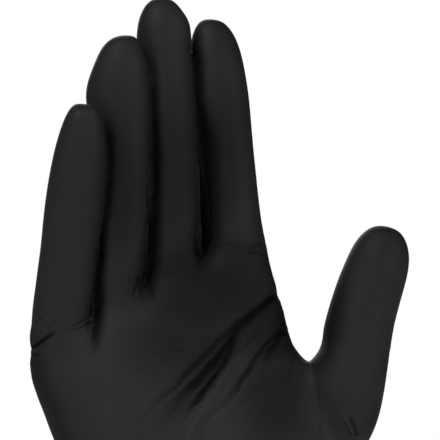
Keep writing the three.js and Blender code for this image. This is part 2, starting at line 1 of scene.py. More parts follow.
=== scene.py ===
# %% [markdown]
# # A black nitrile glove, worn
#
# An exam glove is dipped: a former goes into liquid rubber, and the film that stays on it is
# rolled into a bead at the cuff. So the whole glove is one skin with no seam. Worn, it is
# stretched smooth over the fingers and drawn into folds across the palm.
#
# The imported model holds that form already, as a plain wall with its main folds. This lesson
# keeps its shape, makes the wall smooth, draws the fine folds into it, and gives it the satin
# black of the real film. Everything is in metres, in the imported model's own frame.

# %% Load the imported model
import math

import bmesh
import bpy
import numpy as np
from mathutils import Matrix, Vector, noise
from mathutils.bvhtree import BVHTree
from mathutils.kdtree import KDTree


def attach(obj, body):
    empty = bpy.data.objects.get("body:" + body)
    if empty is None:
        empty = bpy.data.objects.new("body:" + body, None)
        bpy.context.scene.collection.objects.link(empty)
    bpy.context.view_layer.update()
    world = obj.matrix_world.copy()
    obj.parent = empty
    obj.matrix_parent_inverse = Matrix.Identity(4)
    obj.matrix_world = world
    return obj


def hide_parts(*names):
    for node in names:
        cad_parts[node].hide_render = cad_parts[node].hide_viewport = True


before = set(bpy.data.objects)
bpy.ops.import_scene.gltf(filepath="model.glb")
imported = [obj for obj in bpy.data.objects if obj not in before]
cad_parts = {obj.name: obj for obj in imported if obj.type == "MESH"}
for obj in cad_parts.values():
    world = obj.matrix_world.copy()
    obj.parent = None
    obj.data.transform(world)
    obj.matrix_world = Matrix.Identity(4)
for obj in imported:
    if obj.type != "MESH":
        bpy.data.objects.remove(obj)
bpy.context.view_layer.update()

MM = 0.001
print("packed nodes:", sorted(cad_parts))

# %% [markdown]
# ## The camera first
#
# The glove is seen straight from the palm's side, with the lower palm and the cuff below the
# picture's edge. One pixel is 0.33 mm on the glove's own middle plane. The fine folds further
# down are placed by the pixels where they show, so the camera and the way from a place in
# space to a pixel are settled first, from the same few values.

# %% The camera's place and angle
PIXELS = 440
PIXEL = 0.33 * MM
VIEW_MIDDLE = Vector((7.92, 0, 167.73)) * MM
VIEW_DISTANCE = 700 * MM

camera_data = bpy.data.cameras.new("camera")
camera_data.sensor_width = 36
camera_data.lens = camera_data.sensor_width * VIEW_DISTANCE / (PIXELS * PIXEL)
camera = bpy.data.objects.new("camera", camera_data)
camera.location = VIEW_MIDDLE - Vector((0, VIEW_DISTANCE, 0))
camera.rotation_euler = (math.radians(90), 0, 0)
bpy.context.scene.collection.objects.link(camera)
bpy.context.scene.camera = camera
print("lens", round(camera_data.lens, 1), "mm")


def seen_at(places):
    """The pixels, across and down, where places in space are seen by the camera."""
    size = VIEW_DISTANCE / (VIEW_DISTANCE + places[:, 1]) / PIXEL
    across = PIXELS / 2 + (places[:, 0] - VIEW_MIDDLE.x) * size
    down = PIXELS / 2 - (places[:, 2] - VIEW_MIDDLE.z) * size
    return np.column_stack([across, down])


# %% [markdown]
# ## From faceted wall to smooth film
#
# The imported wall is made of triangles. A copy of it is merged, and most of its triangles are
# joined back into squares, because Catmull-Clark subdivision needs squares to round a form
# evenly.

# %% Merge the copy, and join its triangles
MERGE_DISTANCE = 0.005 * MM
JOIN_ANGLE = math.radians(60)

shell = bmesh.new()
shell.from_mesh(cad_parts["glove"].data)
bmesh.ops.remove_doubles(shell, verts=shell.verts, dist=MERGE_DISTANCE)
bmesh.ops.join_triangles(
    shell, faces=shell.faces, angle_face_threshold=JOIN_ANGLE, angle_shape_threshold=JOIN_ANGLE,
)
shell.normal_update()
squares = sum(len(face.verts) == 4 for face in shell.faces)
print(len(shell.verts), "vertices,", squares, "squares of", len(shell.faces), "faces")

# %% [markdown]
# The whole shell gets one round of subdivision. Then the outer wall is found by walking from the
# highest vertex over the faces, and stopping at the rim where the bead begins. What the walk
# doesn't reach above the bead is the inner wall. It is only seen through the cuff, so one round
# is enough for it. The bead stays with the outer wall.

# %% Round the shell once, and part its inner wall from its outer one
RIM_HEIGHT = 3.1 * MM


def above_rim(face):
    return face.calc_center_median().z > RIM_HEIGHT


def walk(start, allowed):
    """All faces that can be reached from one face over shared edges."""
    found, ahead = {start}, [start]
    while ahead:
        for edge in ahead.pop().edges:
            for face in edge.link_faces:
                if face not in found and allowed(face):
                    found.add(face)
                    ahead.append(face)
    return found


def rounded(bm):
    """The mesh after one round of Catmull-Clark subdivision, as a new bmesh."""
    mesh = bpy.data.meshes.new("coarse")
    bm.to_mesh(mesh)
    holder = bpy.data.objects.new("coarse", mesh)
    bpy.context.scene.collection.objects.link(holder)
    subdivision = holder.modifiers.new("subdivision", "SUBSURF")
    subdivision.levels = subdivision.render_levels = 1
    depsgraph = bpy.context.evaluated_depsgraph_get()
    fine = bpy.data.meshes.new_from_object(holder.evaluated_get(depsgraph))
    result = bmesh.new()
    result.from_mesh(fine)
    bpy.data.objects.remove(holder)
    bpy.data.meshes.remove(mesh)
    bpy.data.meshes.remove(fine)
    return result


once = rounded(shell)
top_face = max(once.verts, key=lambda vert: vert.co.z).link_faces[0]
outer_faces = walk(top_face, above_rim)
inner_numbers = {
    face.index for face in once.faces if above_rim(face) and face not in outer_faces
}
inner_wall, outer_wall = once.copy(), once
for wall, is_inner in ((inner_wall, True), (outer_wall, False)):
    wall.faces.ensure_lookup_table()
    gone = [face for face in wall.faces if (face.index in inner_numbers) != is_inner]
    bmesh.ops.delete(wall, geom=gone, context="FACES")
print(len(outer_wall.faces), "outer faces,", len(inner_wall.faces), "inner faces")

# %% [markdown]
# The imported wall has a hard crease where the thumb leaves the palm, and a ledge across the back
# where the fingers begin. The film stretches over both, so these places are smoothed. Both walls
# are, so that they stay as far apart as they are. A zone is given by ovals in the picture, and
# by the direction that its film faces. After that, the outer wall is rounded a second time.

# %% Smooth the crease at the thumb's root and the ledge at the fingers' roots
EASED_ZONES = [
    # direction, ovals in pixels (middle and half sizes), and rounds of smoothing
    ((0, -1, 0), [((311, 396), (36, 66))], 40),
    ((0, 1, 0), [
        ((236, 264), (54, 44)),
        ((176, 280), (50, 44)),
        ((122, 302), (50, 44)),
        ((70, 336), (46, 44)),
    ], 30),
    ((-1, 0, 0), [((34, 338), (30, 34))], 12),
]
EASED_FULLY = 0.3
EASED_FACING = (0.1, 0.35)
SMOOTHING_FACTOR = 0.5


def smoothstep(value, low, high):
    """0 below low, 1 above high, and a soft step between."""
    share = np.clip((value - low) / (high - low), 0, 1)
    return share * share * (3 - 2 * share)


def places_of(bm):
    return np.array([vert.co[:] for vert in bm.verts])


def normals_of(bm):
    return np.array([vert.normal[:] for vert in bm.verts])


def in_ovals(spots, ovals, full):
    """1 inside an oval up to that share of its half sizes, and down to 0 at its edge."""
    reaches = [
        np.linalg.norm((spots - middle) / half_sizes, axis=1) for middle, half_sizes in ovals
    ]
    return 1 - smoothstep(np.min(reaches, axis=0), full, 1)


def smooth(bm, shares, rounds):
    """Moves each vertex with a share above 0 towards its neighbours' middle, in rounds."""
    verts = [vert for vert, share in zip(bm.verts, shares) if share > 0]
    for _ in range(rounds):
        bmesh.ops.smooth_vert(
            bm, verts=verts, factor=SMOOTHING_FACTOR,
            use_axis_x=True, use_axis_y=True, use_axis_z=True,
        )
    bm.normal_update()


for wall, outwards in ((outer_wall, 1), (inner_wall, -1)):
    wall.normal_update()
    for direction, ovals, rounds in EASED_ZONES:
        creased = places_of(wall)
        facing = smoothstep(normals_of(wall) @ direction * outwards, *EASED_FACING)
        eased = in_ovals(seen_at(creased), ovals, EASED_FULLY) * facing
        smooth(wall, eased, rounds)
        for vert, place, share in zip(wall.verts, creased, eased):
            vert.co = Vector(place).lerp(vert.co, share)
        wall.normal_update()
        print(np.count_nonzero(eased), "vertices eased")
film = rounded(outer_wall)
print(len(film.faces), "faces on the outer wall once it is rounded again")

# %% [markdown]
# ## Ironing
#
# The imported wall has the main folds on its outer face, as coarsely as its triangles allow. Here
# they are ironed out, because the same folds come back below, narrower and in their true number.
# The inner wall has none, so an ironed vertex is simply put one wall's thickness from it.

# %% Iron the coarse folds out of the palm
WALL = 1.0 * MM
IRONED_FACING = 0.1
IRONED_OVALS = [
    # middle and half sizes, in pixels of the picture
    ((210, 375), (120, 110)),
    ((62, 345), (52, 50)),
]
IRONED_FULLY = 0.75
SETTLING_ROUNDS = 5

film.normal_update()
inner_tree = BVHTree.FromBMesh(inner_wall)
on_palm = normals_of(film)[:, 1] < -IRONED_FACING
ironed = in_ovals(seen_at(places_of(film)), IRONED_OVALS, IRONED_FULLY) * on_palm
for vert, share in zip(film.verts, ironed):
    if share > 0:
        foot = inner_tree.find_nearest(vert.co)[0]
        vert.co = vert.co.lerp(foot + (vert.co - foot).normalized() * WALL, share)
smooth(film, ironed, SETTLING_ROUNDS)
print(np.count_nonzero(ironed), "vertices ironed")

# %% [markdown]
# The fine folds are down to a pixel or two wide, 0.5 mm. Where they lie, every edge that is too
# long for them is cut in two, twice over. The new vertices are settled by a few rounds of
# smoothing.

# %% Refine the film where the fine folds lie
REFINED_BOXES = [
    # left, right, top and bottom, in pixels
    (128, 302, 288, 444),
    (196, 276, 236, 288),
    (26, 104, 304, 368),
    (126, 162, 268, 288),
    (338, 372, 400, 444),
    (362, 396, 298, 358),
]
REFINED_FACING = 0.05
LONGEST_EDGES = (0.9 * MM, 0.45 * MM)


def in_refined_boxes(bm):
    """For each vertex, whether it is on the palm's side and inside one of the boxes."""
    across, down = seen_at(places_of(bm)).T
    inside = np.zeros(len(across), bool)
    for left, right, top, bottom in REFINED_BOXES:
        inside |= (across > left) & (across < right) & (down > top) & (down < bottom)
    return inside & (normals_of(bm)[:, 1] < -REFINED_FACING)


for longest in LONGEST_EDGES:
    inside = in_refined_boxes(film)
    cut_edges = [
        edge for edge in film.edges
        if edge.calc_length() > longest and all(inside[vert.index] for vert in edge.verts)
    ]
    bmesh.ops.subdivide_edges(film, edges=cut_edges, cuts=1, use_grid_fill=True)
    bmesh.ops.triangulate(film, faces=[face for face in film.faces if len(face.verts) > 4])
    film.verts.index_update()
    film.normal_update()
    smooth(film, in_refined_boxes(film), SETTLING_ROUNDS)
    print(len(cut_edges), "edges cut,", len(film.faces), "outer faces now")

# %% [markdown]
# ## Fingers that touch
#
# Pressed together, the finger stalls touch, and no light comes through between them. A ray from
# each vertex along its normal finds the wall across a narrow gap, and both walls are moved to
# the gap's middle.

# %% Close the narrow gaps between the fingers
GAP = 2.4 * MM
RAY_START = 0.02 * MM
FINGERS_START = 128 * MM
OPPOSED = -0.6

film.normal_update()
tree = BVHTree.FromBMesh(film)
to_middle = {}
for vert in film.verts:
    if vert.co.z > FINGERS_START and abs(vert.normal.x) > abs(vert.normal.z):
        start = vert.co + vert.normal * RAY_START
        place, normal, _, distance = tree.ray_cast(start, vert.normal, GAP)
        if place is not None and normal.dot(vert.normal) < OPPOSED:
            to_middle[vert] = vert.normal * (distance + RAY_START) / 2
for vert, move in to_middle.items():
    vert.co += move
print(len(to_middle), "vertices moved across gaps")

# %% [markdown]
# ## The folds
#
# Nitrile doesn't wrinkle at random. The thumb pulls the palm's film towards its web, so long
# folds run from the web down across the palm, side by side. Each is a row of the table: its
# route through the picture's pixels, its height in millimetres, which is below 0 for a valley,
# and its width in pixels to the right and to the left of the route, looking along it. A fold
# that leans over has one side narrower, and so steeper, than the other. The last two columns are
# the shares of the route over which it fades in and out.

# %% The table of folds
FOLDS = [
    # main valley from the thumb's web, and the three that it forks into
    ([(292, 284), (276, 297), (262, 308), (252, 316), (240, 325), (230, 335)],
     -2.1, 3.8, 4.6, 0, 0.3),
    ([(246, 319), (228, 334), (215, 346), (204, 357), (195, 367), (185, 377), (175, 388),
      (162, 400), (150, 413), (136, 428)], -1.05, 3.4, 2.6, 0.1, 0.5),
    ([(243, 324), (234, 335), (226, 348), (219, 356), (212, 365), (205, 372), (198, 380),
      (182, 394), (166, 410)], -1.5, 2.8, 3.4, 0.1, 0.6),
    ([(238, 332), (232, 345), (228, 358), (220, 368), (212, 380), (203, 392), (195, 403),
      (188, 414), (180, 432)], -1.3, 3.0, 2.2, 0.1, 0.4),
    # broad hollow that these lie in
    ([(266, 314), (228, 348), (188, 393), (150, 434)], -1.0, 9.0, 13.0, 0.3, 0.3),
    # ridges between them, and the broad bright one beside them
    ([(226, 341), (205, 362), (190, 380), (165, 403), (138, 429)], 0.15, 2.4, 2.4, 0.2, 0.4),
    ([(226, 356), (216, 370), (204, 384), (188, 402), (176, 418)], 0.55, 1.3, 1.5, 0.2, 0.5),
    ([(252, 327), (238, 355), (228, 370), (215, 390), (207, 405), (195, 425), (188, 446)],
     0.4, 2.4, 6.5, 0.3, 0.05),
    ([(222, 357), (217, 363)], 0.35, 1.1, 1.1, 0.2, 0.2),
    # thin valley down the broad ridge, with two thin lines beside it
    ([(272, 318), (266, 324), (255, 337), (245, 348), (238, 353), (228, 370)],
     -0.45, 1.6, 1.6, 0.3, 0.4),
    ([(264, 329), (254, 340), (244, 353)], 0.2, 1.2, 1.2, 0.3, 0.3),
    ([(259, 336), (252, 344), (246, 352)], 0.2, 1.0, 1.0, 0.3, 0.3),
    # second valley, from the notch in the web's edge, and the blob and ridge beside it
    ([(292, 308), (284, 322), (280, 332), (272, 340), (262, 351), (254, 362), (247, 372),
      (240, 382), (232, 395), (222, 407), (206, 424)], -1.15, 2.6, 2.4, 0, 0.5),
    ([(288, 328), (281, 338), (275, 346), (269, 354), (263, 368)], -1.7, 3.6, 3.4, 0.1, 0.5),
    ([(256, 364), (247, 382), (240, 395), (230, 408)], 0.3, 2.4, 3.4, 0.3, 0.5),
    ([(270, 362), (262, 378), (254, 394), (246, 408)], -0.3, 2.2, 3.0, 0.4, 0.5),
    ([(285, 346), (279, 358), (273, 374)], 0.2, 2.2, 2.6, 0.4, 0.5),
    # thin folds on the flap between the two valleys
    ([(280, 306), (268, 315), (256, 326), (246, 338)], -0.25, 1.8, 1.8, 0.3, 0.5),
    ([(282, 318), (272, 326), (262, 338)], -0.25, 1.8, 1.8, 0.3, 0.5),
    # fold down the ball of the thumb, and the web's own small ones
    ([(312, 366), (316, 385), (319, 405), (321, 425), (322, 440)], -0.2, 2.2, 1.8, 0.3, 0.1),
    ([(306, 368), (311, 388), (315, 410), (317, 437)], 0.06, 2.6, 2.6, 0.4, 0.1),
    ([(298, 352), (292, 368), (290, 384)], -0.3, 2.6, 2.6, 0.4, 0.5),
    ([(304, 361), (311, 365), (319, 362)], 0.15, 1.0, 1.0, 0.3, 0.3),
    # small marks in the palm
    ([(166, 353), (174, 350), (180, 352), (186, 357)], -0.22, 1.4, 1.4, 0.2, 0.3),
    ([(168, 358), (176, 357), (184, 359)], 0.18, 1.1, 1.1, 0.3, 0.3),
    ([(172, 344), (179, 341), (185, 345)], -0.16, 1.4, 1.4, 0.3, 0.3),
    ([(206, 396), (199, 401), (192, 409)], -0.4, 1.2, 1.6, 0.3, 0.4),
    ([(204, 401), (197, 406), (190, 413)], 0.25, 1.1, 1.1, 0.3, 0.4),
    ([(180, 404), (173, 411), (164, 418)], -0.3, 1.5, 1.3, 0.3, 0.4),
    ([(200, 384), (194, 388), (189, 396)], -0.25, 1.4, 1.4, 0.3, 0.4),
    # creases across the little finger's root, deep at the palm's edge and fanned out at the gap
    ([(28, 352), (34, 347), (42, 341), (50, 336), (60, 330)], -1.3, 1.8, 2.0, 0.2, 0.4),
    ([(34, 351), (45, 345), (57, 340)], 0.3, 1.2, 1.4, 0.2, 0.5),
    ([(28, 359), (34, 355), (42, 350)], -0.8, 1.8, 2.0, 0.1, 0.5),
    ([(33, 326), (42, 317), (49, 312)], -0.5, 1.3, 1.5, 0.2, 0.4),
    ([(44, 332), (51, 325), (59, 319)], -0.3, 1.5, 1.5, 0.3, 0.4),
    ([(92, 314), (84, 320), (76, 326), (66, 331)], -0.3, 1.1, 1.2, 0.1, 0.5),
    ([(91, 321), (83, 326), (75, 330), (64, 334)], -0.3, 1.1, 1.2, 0.1, 0.5),
    ([(89, 327), (82, 331), (74, 334)], -0.22, 1.1, 1.2, 0.1, 0.5),
    ([(90, 324), (86, 328)], -0.4, 2.2, 2.2, 0.2, 0.3),
    # creases across the roots of the other fingers
    ([(97, 284), (110, 287), (124, 285), (136, 281)], -0.2, 2.0, 2.6, 0.3, 0.3),
    ([(98, 280), (108, 281), (118, 280)], 0.14, 1.2, 1.2, 0.3, 0.3),
    ([(158, 260), (172, 260), (188, 259)], -0.16, 1.6, 2.0, 0.3, 0.3),
    ([(206, 248), (225, 246), (236, 247), (250, 249)], -0.3, 1.2, 2.2, 0.3, 0.1),
    ([(244, 249), (254, 247), (270, 242)], -0.5, 1.4, 1.8, 0.3, 0),
    ([(244, 251), (256, 254), (272, 257)], -0.5, 1.4, 1.4, 0.2, 0),
    ([(246, 250), (256, 250), (268, 249)], 0.2, 1.2, 1.2, 0.4, 0),
    ([(272, 258), (264, 265), (254, 273)], -0.2, 1.4, 1.6, 0, 0.6),
    # each finger's near side, set back behind the finger beside it, down into the palm
    ([(101, 108), (106, 135), (105, 180), (101, 220), (96, 260), (93, 300), (93, 330), (95, 366)],
     -1.2, 1.2, 7.0, 0.1, 0.2),
    ([(101, 220), (97, 260), (94, 300), (94, 325)], -1.1, 1.4, 9.0, 0.4, 0.3),
    ([(98, 284), (96, 310), (94, 335), (92, 372)], -0.9, 7.0, 8.0, 0.3, 0.6),
    ([(141, 42), (150, 75), (152, 130), (150, 180), (147, 240), (144, 304)],
     -1.3, 1.2, 8.0, 0.1, 0.1),
    ([(150, 100), (150, 180), (147, 240), (145, 288)], -2.8, 1.4, 11.0, 0.4, 0.15),
    ([(191, 42), (195, 100), (199, 160), (200, 220), (197, 272)], -1.4, 1.2, 9.0, 0.1, 0.1),
    ([(195, 90), (198, 160), (198, 220), (196, 260)], -3.6, 1.6, 18.0, 0.4, 0.15),
    # folds that fan out below the gaps between the fingers
    ([(138, 278), (135, 290), (131, 303)], -0.45, 1.4, 1.4, 0.2, 0.5),
    ([(145, 276), (149, 289), (153, 303)], -0.6, 1.6, 2.4, 0.2, 0.5),
    ([(137, 276), (140, 289), (144, 303)], -0.8, 1.5, 1.6, 0.1, 0.4),
    ([(143, 290), (142, 300), (141, 310)], 0.3, 1.1, 1.1, 0.2, 0.5),
    # bumps on the edge of the thumb's web
    ([(268, 304), (278, 301), (290, 298)], 0.7, 1.6, 2.0, 0.5, 0),
    ([(274, 313), (284, 310), (294, 306)], 0.4, 1.3, 1.3, 0.5, 0),
    ([(280, 333), (287, 329), (296, 324)], 0.5, 1.5, 2.0, 0.5, 0),
    ([(286, 342), (293, 339), (302, 334)], 0.25, 1.5, 1.5, 0.5, 0),
    # wrinkles at the thumb's base and along its side
    ([(343, 414), (347, 424), (353, 436)], 0.65, 1.4, 2.0, 0.3, 0.1),
    ([(349, 414), (352, 422), (357, 437)], -0.8, 1.4, 1.6, 0.3, 0.1),
    ([(360, 412), (361, 424), (363, 436)], 0.5, 1.0, 1.4, 0.3, 0.1),
    ([(378, 396), (368, 402), (356, 402)], -0.2, 1.6, 2.0, 0.1, 0.6),
    ([(392, 348), (386, 344), (377, 346)], 0.2, 1.1, 1.2, 0.1, 0.5),
    ([(393, 353), (386, 350), (376, 350)], -0.2, 1.4, 1.6, 0.1, 0.6),
    ([(366, 303), (372, 315), (378, 327), (385, 338)], 0.14, 1.1, 1.1, 0.3, 0.2),
    ([(404, 300), (392, 292), (376, 288)], -0.1, 1.6, 2.4, 0.3, 0.5),
]
print(len(FOLDS), "folds, of which", sum(height < 0 for _, height, *_ in FOLDS), "are valleys")

# %% [markdown]
# A route's pixels are joined by a smooth curve. Each vertex finds its nearest place on the curve,
# and how far it is to the side. Across the fold, the height falls off as a bell, which is left
# out where it is too far off to matter.

# %% From a table row to a height
ROUTE_STEPS = 6
BELL_REACH = 3             # in widths of the fold
ROUTE_END = 0.001          # so that a fold with no fading is full right up to its end
WAVERS = [
    # how far in pixels, and how many waves to the pixel
    (1.2, 0.07),
    (0.8, 0.25),
]
NOISE_SEED = 2
noise.seed_set(NOISE_SEED)      # unseeded, the noise vectors differ from run to run


def curve_through(points):
    """A smooth curve through the points, as many short straight steps."""
    points = np.array(points, float)
    ends = np.vstack([2 * points[0] - points[1], points, 2 * points[-1] - points[-2]])
    steps = np.linspace(0, 1, ROUTE_STEPS, endpoint=False)[:, None]
    parts = []
    for a, b, c, d in zip(ends, ends[1:], ends[2:], ends[3:]):
        parts.append(0.5 * (
            2 * b + (c - a) * steps + (2 * a - 5 * b + 4 * c - d) * steps ** 2
            + (3 * b - a - 3 * c + d) * steps ** 3
        ))
    return np.vstack([*parts, points[-1:]])


def fold_heights(spots, fold):
    """The height that one fold gives to each spot, in metres."""
    route, height, right_width, left_width, fade_in, fade_out = fold
    curve = curve_through(route)
    starts, steps = curve[:-1], np.diff(curve, axis=0)
    lengths = np.linalg.norm(steps, axis=1)
    reached = np.concatenate([[0], np.cumsum(lengths)])
    heights = np.zeros(len(spots))
    reach = BELL_REACH * max(right_width, left_width)
    lowest, highest = curve.min(axis=0) - reach, curve.max(axis=0) + reach
    near = np.all((spots > lowest) & (spots < highest), axis=1)
    if not near.any():
        return heights
    offsets = spots[near][:, None] - starts
    share = np.clip((offsets * steps).sum(axis=2) / lengths ** 2, 0, 1)
    away = offsets - share[..., None] * steps
    distances = np.linalg.norm(away, axis=2)
    nearest = distances.argmin(axis=1)
    rows = np.arange(len(nearest))
    step, offset = steps[nearest], offsets[rows, nearest]
    side = step[:, 0] * offset[:, 1] - step[:, 1] * offset[:, 0]
    width = np.where(side > 0, right_width, left_width)
    along = (reached[nearest] + share[rows, nearest] * lengths[nearest]) / reached[-1]
    fade = smoothstep(along, -ROUTE_END, fade_in)
    fade *= 1 - smoothstep(along, 1 - fade_out, 1 + ROUTE_END)
    heights[near] = height * MM * fade * np.exp(-((distances[rows, nearest] / width) ** 2))
    return heights


def wavering(spots):
    """The spots, each moved about a pixel, so that no fold runs straight."""
    return spots + sum(
        reach * np.array([noise.noise_vector(Vector((x, y, 0)) * scale)[:2] for x, y in spots])
        for reach, scale in WAVERS
    )


print(ROUTE_STEPS, "steps between two pixels of a route, noise seed", NOISE_SEED)

# %% [markdown]
# The pixels say where a vertex is seen, and a vertex on the back is seen through the palm. So
# the folds and ripples fade out where the film turns away from the camera.

# %% Work out the folds
PALM_FACING = (-0.12, 0.36)

film.normal_update()
places, normals = places_of(film), normals_of(film)
spots = wavering(seen_at(places))
palm_side = smoothstep(-normals[:, 1], *PALM_FACING)
fold_field = np.zeros(len(places))
for fold in FOLDS:
    fold_field += fold_heights(spots, fold)
fold_field *= palm_side
print("folds from", round(fold_field.min() / MM, 2), "to", round(fold_field.max() / MM, 2), "mm")

# %% [markdown]
# ## Ripples
#
# Along the sides of the fingers the film is gathered into short ripples, and where nothing
# stretches it, round the wrist and the cuff, it lies in loose rings. Both are bands of noise,
# drawn out in one direction. A patch is an oval in the picture: its middle and half sizes in
# pixels, the heading that its ripples run in, their spacing in pixels and height in millimetres.

# %% Ripples on the fingers and the thumb, and rings round the wrist
RIPPLES = [
    # middle, half sizes, heading in degrees, spacing, height
    ((148, 190), (12, 60), 12, 6, 0.5),
    ((194, 190), (12, 75), 15, 6, 0.4),
    ((104, 240), (12, 70), 20, 6, 0.4),
    ((246, 190), (18, 80), -8, 8, 0.2),
    ((84, 230), (24, 90), 8, 9, 0.12),
    ((128, 170), (24, 90), 5, 9, 0.12),
    ((176, 150), (24, 110), -4, 9, 0.12),
    ((222, 150), (24, 100), -6, 9, 0.12),
    ((172, 60), (26, 40), 30, 8, 0.15),
    ((118, 90), (26, 40), 20, 8, 0.15),
    ((376, 290), (40, 70), 35, 12, 0.2),
    ((352, 405), (40, 45), -60, 9, 0.3),
    ((60, 400), (50, 60), -50, 16, 0.15),
    ((45, 330), (34, 40), -28, 7, 0.25),
    ((240, 270), (40, 26), -12, 9, 0.15),
    ((264, 245), (10, 40), 20, 4, 0.4),
    ((288, 320), (18, 36), -25, 5, 0.5),
    ((180, 390), (70, 50), -48, 7, 0.22),
    ((250, 390), (70, 50), -58, 9, 0.2),
]
DRAWN_OUT = 4
RING_HEIGHT = 1.1 * MM
RING_SPACING = 9 * MM
RING_ZONE = (6 * MM, 22 * MM, 62 * MM, 92 * MM)      # from where to where they rise and fade
RING_SLANT = 0.25
LOOSE_HEIGHT = 0.1 * MM
LOOSE_SPACING = 12 * MM


def ripple_heights(spots, patch):
    """The height that one patch of ripples gives to each spot, in metres."""
    middle, half_sizes, heading, spacing, height = patch
    oval = np.linalg.norm((spots - middle) / half_sizes, axis=1)
    heights = np.zeros(len(spots))
    turn = math.radians(heading)
    along = np.array([math.cos(turn), math.sin(turn)])
    across = np.array([-math.sin(turn), math.cos(turn)])
    for i in np.flatnonzero(oval < 1):
        # the height is also the noise's third coordinate, so that the patches differ
        place = Vector((spots[i] @ along / DRAWN_OUT, spots[i] @ across, height)) / spacing
        heights[i] = noise.noise(place) * height * MM * (1 - oval[i] ** 2)
    return heights


ripple_field = sum(ripple_heights(spots, patch) for patch in RIPPLES) * palm_side
z = places[:, 2]
ring_start, ring_full, ring_fading, ring_end = RING_ZONE
ring_share = smoothstep(z, ring_start, ring_full) * (1 - smoothstep(z, ring_fading, ring_end))
loose_field = np.zeros(len(places))
for i, (x, y, height) in enumerate(places):
    rise = min(height / ring_full, 1)
    loose = noise.noise(Vector((x, y, height)) / LOOSE_SPACING) * LOOSE_HEIGHT * rise
    ring = 0
    if ring_share[i] > 0:
        place = Vector((x / DRAWN_OUT, y / DRAWN_OUT, height + RING_SLANT * x))
        ring = noise.noise(place / RING_SPACING)
    loose_field[i] = loose + ring * RING_HEIGHT * ring_share[i]
print("ripples up to", round(ripple_field.max() / MM, 2), "mm")
print("rings up to", round(loose_field.max() / MM, 2), "mm")

# %% [markdown]
# ## Painted shade
#
# Some places are given a darker colour, as painted shade: the palm below the fingers, the
# thumb's web and the thumb, the fingers' lower parts, and the palm's left edge. How much shade
# is painted comes from ovals in the picture. Where two overlap, the stronger one counts. The
# film is also a little rougher there.

# %% Where shade is painted on the film
PAINTED_SHADE_OVALS = [
    # middle and half sizes in pixels, and how much shade is painted there, up to 1
    ((205, 285), (120, 90), 1.0),
    ((276, 330), (60, 70), 0.85),
    ((122, 190), (26, 120), 0.75),
    ((174, 180), (26, 140), 0.75),
    ((226, 160), (30, 130), 0.75),
    ((226, 40), (24, 40), 0.4),
    ((190, 335), (100, 70), 0.75),
    ((275, 400), (60, 80), 0.8),
    ((324, 305), (34, 90), 1.0),
    ((385, 240), (30, 30), 0.4),
    ((30, 362), (22, 50), 0.7),
    ((36, 384), (22, 50), 0.7),
    ((43, 406), (22, 50), 0.7),
    ((51, 428), (22, 50), 0.7),
    ((59, 450), (22, 50), 0.7),
    ((390, 385), (13, 44), 0.8),
    ((376, 428), (15, 30), 0.9),
]
PAINTED_SHADE_FULLY = 0.2

# painted shade: how much darker each vertex's colour is painted, from the ovals
pixels = seen_at(places)
painted_shade_field = palm_side * np.max(
    [in_ovals(pixels, [oval], PAINTED_SHADE_FULLY) * share for *oval, share in PAINTED_SHADE_OVALS], axis=0,
)
print(np.count_nonzero(painted_shade_field), "vertices in taut film")

# %% [markdown]
# ## The contour
#
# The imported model's contour follows the real one to within a millimetre or two. The rest is done
# here. Each row pushes the film out round one place of the contour, or draws it in where the
# move is below 0, and only as far as the film there faces the row's heading.

# %% The last moves of the contour
CONTOUR = [
    # place and reach in pixels, heading in degrees from the right, and the move in millimetres
    ((87, 92), 26, 180, 2.0),
    ((76, 106), 16, 90, -0.5),
    ((187, 26), 14, 45, 1.1),
    ((189, 40), 7, 0, 0.35),
    ((203, 24), 14, 120, 0.7),
    ((137, 36), 8, 45, 0.8),
    ((110, 36), 12, 110, -0.5),
    ((248, 95), 45, 0, 0.55),
    ((50, 185), 50, 180, 0.5),
    ((36, 380), 30, 190, 0.4),
    ((268, 250), 22, 0, 0.5),
    ((291, 343), 14, 30, -0.9),
    ((319, 345), 14, 150, -1.0),
    ((308, 362), 7, 90, 0.5),
    ((276, 296), 4, 20, -0.3),
    ((284, 328), 4, 20, -0.3),
    ((28, 372), 20, 180, 0.3),
    ((398, 315), 45, 0, -0.55),
    ((378, 415), 35, -15, 0.7),
]


def contour_heights(spots, normals):
    """How far each vertex moves so that the contour lies where the picture has it, in metres."""
    heights = np.zeros(len(spots))
    for place, reach, heading, height in CONTOUR:
        away = np.linalg.norm(spots - place, axis=1) / reach
        turn = math.radians(heading)
        facing = np.clip(normals[:, 0] * math.cos(turn) + normals[:, 2] * math.sin(turn), 0, 1)
        heights += height * MM * np.exp(-(away ** 2)) * facing
    return heights


contour_field = contour_heights(pixels, normals)
ends = contour_field.min(), contour_field.max()
print("contour moved by", [round(end / MM, 2) for end in ends], "mm")

# %% [markdown]
# ## Raising and sinking
#
# Folds, ripples, rings and contour are added up along the normals. Subdivision has drawn the film
# in by a fraction of a millimetre, which is given back in the same step. The bead stays as it
# is. How deep a vertex lies in its fold, and how much shade is painted there, are kept as
# attributes for the material, which darkens the film's colour with both, as painted shade.

# %% Raise and sink the film
GIVEN_BACK = 0.45 * MM
GIVEN_BACK_RISE = (3 * MM, 12 * MM)
DEEP = 1.7 * MM

moves = fold_field + ripple_field + loose_field + contour_field
moves += GIVEN_BACK * smoothstep(z, *GIVEN_BACK_RISE)
moves *= smoothstep(z, RIM_HEIGHT, 2 * RIM_HEIGHT)
for vert, move in zip(film.verts, moves):
    vert.co += vert.normal * move
